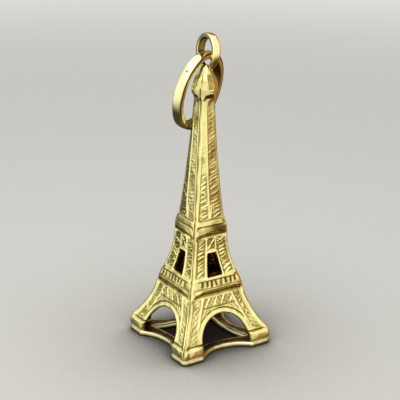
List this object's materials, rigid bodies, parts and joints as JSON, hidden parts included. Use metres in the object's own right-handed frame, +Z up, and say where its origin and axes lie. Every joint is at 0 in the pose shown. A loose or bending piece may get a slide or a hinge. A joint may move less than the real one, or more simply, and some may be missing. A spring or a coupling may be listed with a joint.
{
  "type": "lattice tower charm with jump ring",
  "caption": "Hollow gold-coloured charm in the shape of a four-legged lattice tower, with a fixed bail on its tip and a flat-band jump ring that swings through it.",
  "frame": {"origin": "centre of the base plate's underside, on the ground", "axes": "+Z up the tower; the tower's four faces look along +X, -X, +Y and -Y; the jump ring rests against the back (+Y) side of the shaft"},
  "size_m": [0.0114, 0.0114, 0.0336],
  "materials": {
    "gold_sheet": "satin yellow gold, hand-polished edges",
    "gold_plate": "satin yellow gold",
    "gold_ring": "polished yellow gold",
    "gold_solder": "dull yellow solder"
  },
  "bodies": {
    "tower": {"left_half_shell": "gold_sheet", "right_half_shell": "gold_sheet", "seam_solder": "gold_solder", "base_frame": "gold_plate", "base_solder": "gold_solder", "bail_ring": "gold_ring", "bail_solder": "gold_solder"},
    "hanging_ring": {"jump_ring": "gold_ring"}
  },
  "joints": [
    {"name": "ring_swing", "type": "hinge", "parent": "tower", "child": "hanging_ring", "pos_m": [0.0006, 0.00052, 0.03118], "axis": [0.8988, 0.4384, 0], "range_deg": [0, 329]}
  ]
}
